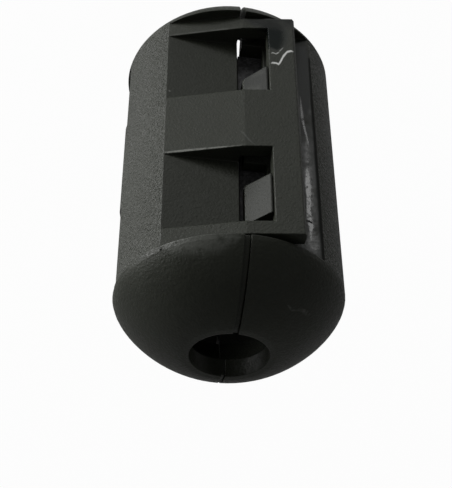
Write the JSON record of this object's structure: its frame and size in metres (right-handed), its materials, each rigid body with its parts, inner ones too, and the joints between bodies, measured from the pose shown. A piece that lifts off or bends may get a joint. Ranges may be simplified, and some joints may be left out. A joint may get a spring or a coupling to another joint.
{
  "type": "clip-on ferrite bead",
  "caption": "Clip-on ferrite bead: hinged domed plastic case with a windowed latch plate that snaps a split ferrite core round a cable.",
  "frame": {"origin": "middle of the overall box at the height of the flat feet under the hinge hooks, on which the bead rests", "axes": "+Y along the cable, +Z from the hinge up to the latch plate, +X from the seam towards the half with the hooks"},
  "size_m": [0.013, 0.024, 0.0141],
  "materials": {
    "case": "fine moulded texture",
    "ferrite": "dull sintered ceramic"
  },
  "bodies": {
    "hook_half": {"hook_half_case": "case", "hook_half_core": "ferrite"},
    "latch_half": {"latch_half_case": "case", "latch_half_core": "ferrite"}
  },
  "joints": [
    {"name": "case_hinge", "type": "hinge", "parent": "hook_half", "child": "latch_half", "pos_m": [-0.0003, 0, 0.0011], "axis": [0, -1, 0], "range_deg": [0, 150]}
  ]
}
